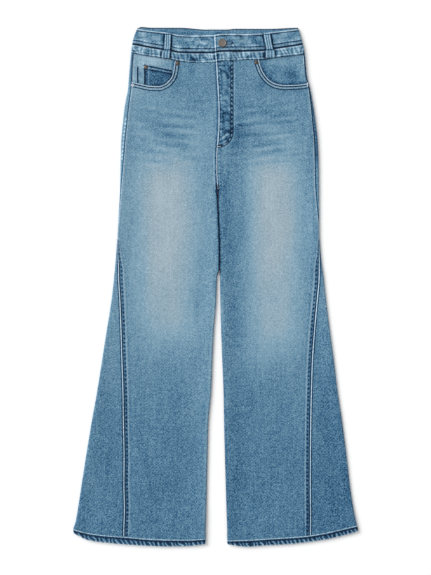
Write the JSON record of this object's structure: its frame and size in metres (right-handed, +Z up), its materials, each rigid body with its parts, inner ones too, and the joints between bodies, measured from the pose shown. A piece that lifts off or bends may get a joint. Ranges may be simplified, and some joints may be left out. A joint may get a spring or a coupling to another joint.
{
  "type": "flared jeans",
  "caption": "Flared denim trousers laid flat on their back, with a tiered waistband, closed fly, scooped front pockets, belt loops and side panels that widen to the hems.",
  "frame": {"origin": "on the table, under the middle of the garment's outline", "axes": "+X from the wearer's right leg to the left one, +Y from the hems to the waist, +Z up from the table through the front"},
  "size_m": [0.584, 1.0639, 0.0128],
  "materials": {
    "denim": "washed twill",
    "denim_dark": "washed twill",
    "denim_pale": "washed twill",
    "zip_tape": "woven tape with a closed chain",
    "button_metal": "antiqued, satin",
    "rivet_copper": "coppered, satin"
  },
  "bodies": {
    "root": {"front_right_leg": "denim", "back_right_leg": "denim", "side_flare_right": "denim", "hem_right": "denim_dark", "pocket_facing_right": "denim_pale", "front_left_leg": "denim", "back_left_leg": "denim", "side_flare_left": "denim", "hem_left": "denim_dark", "pocket_facing_left": "denim_pale", "waistband_upper_front_right": "denim", "waistband_lower_front_right": "denim", "waistband_upper_front_left": "denim", "waistband_lower_front_left": "denim", "waistband_upper_back": "denim", "waistband_lower_back": "denim", "coin_pocket": "denim_dark", "fly_facing": "denim", "fly_zip": "zip_tape", "belt_loop_front_right": "denim", "belt_loop_front_left": "denim", "belt_loop_centre_back": "denim_dark", "waist_button": "button_metal", "rivet_pocket_right": "rivet_copper", "rivet_pocket_left": "rivet_copper", "rivet_coin_pocket": "rivet_copper"}
  },
  "joints": []
}
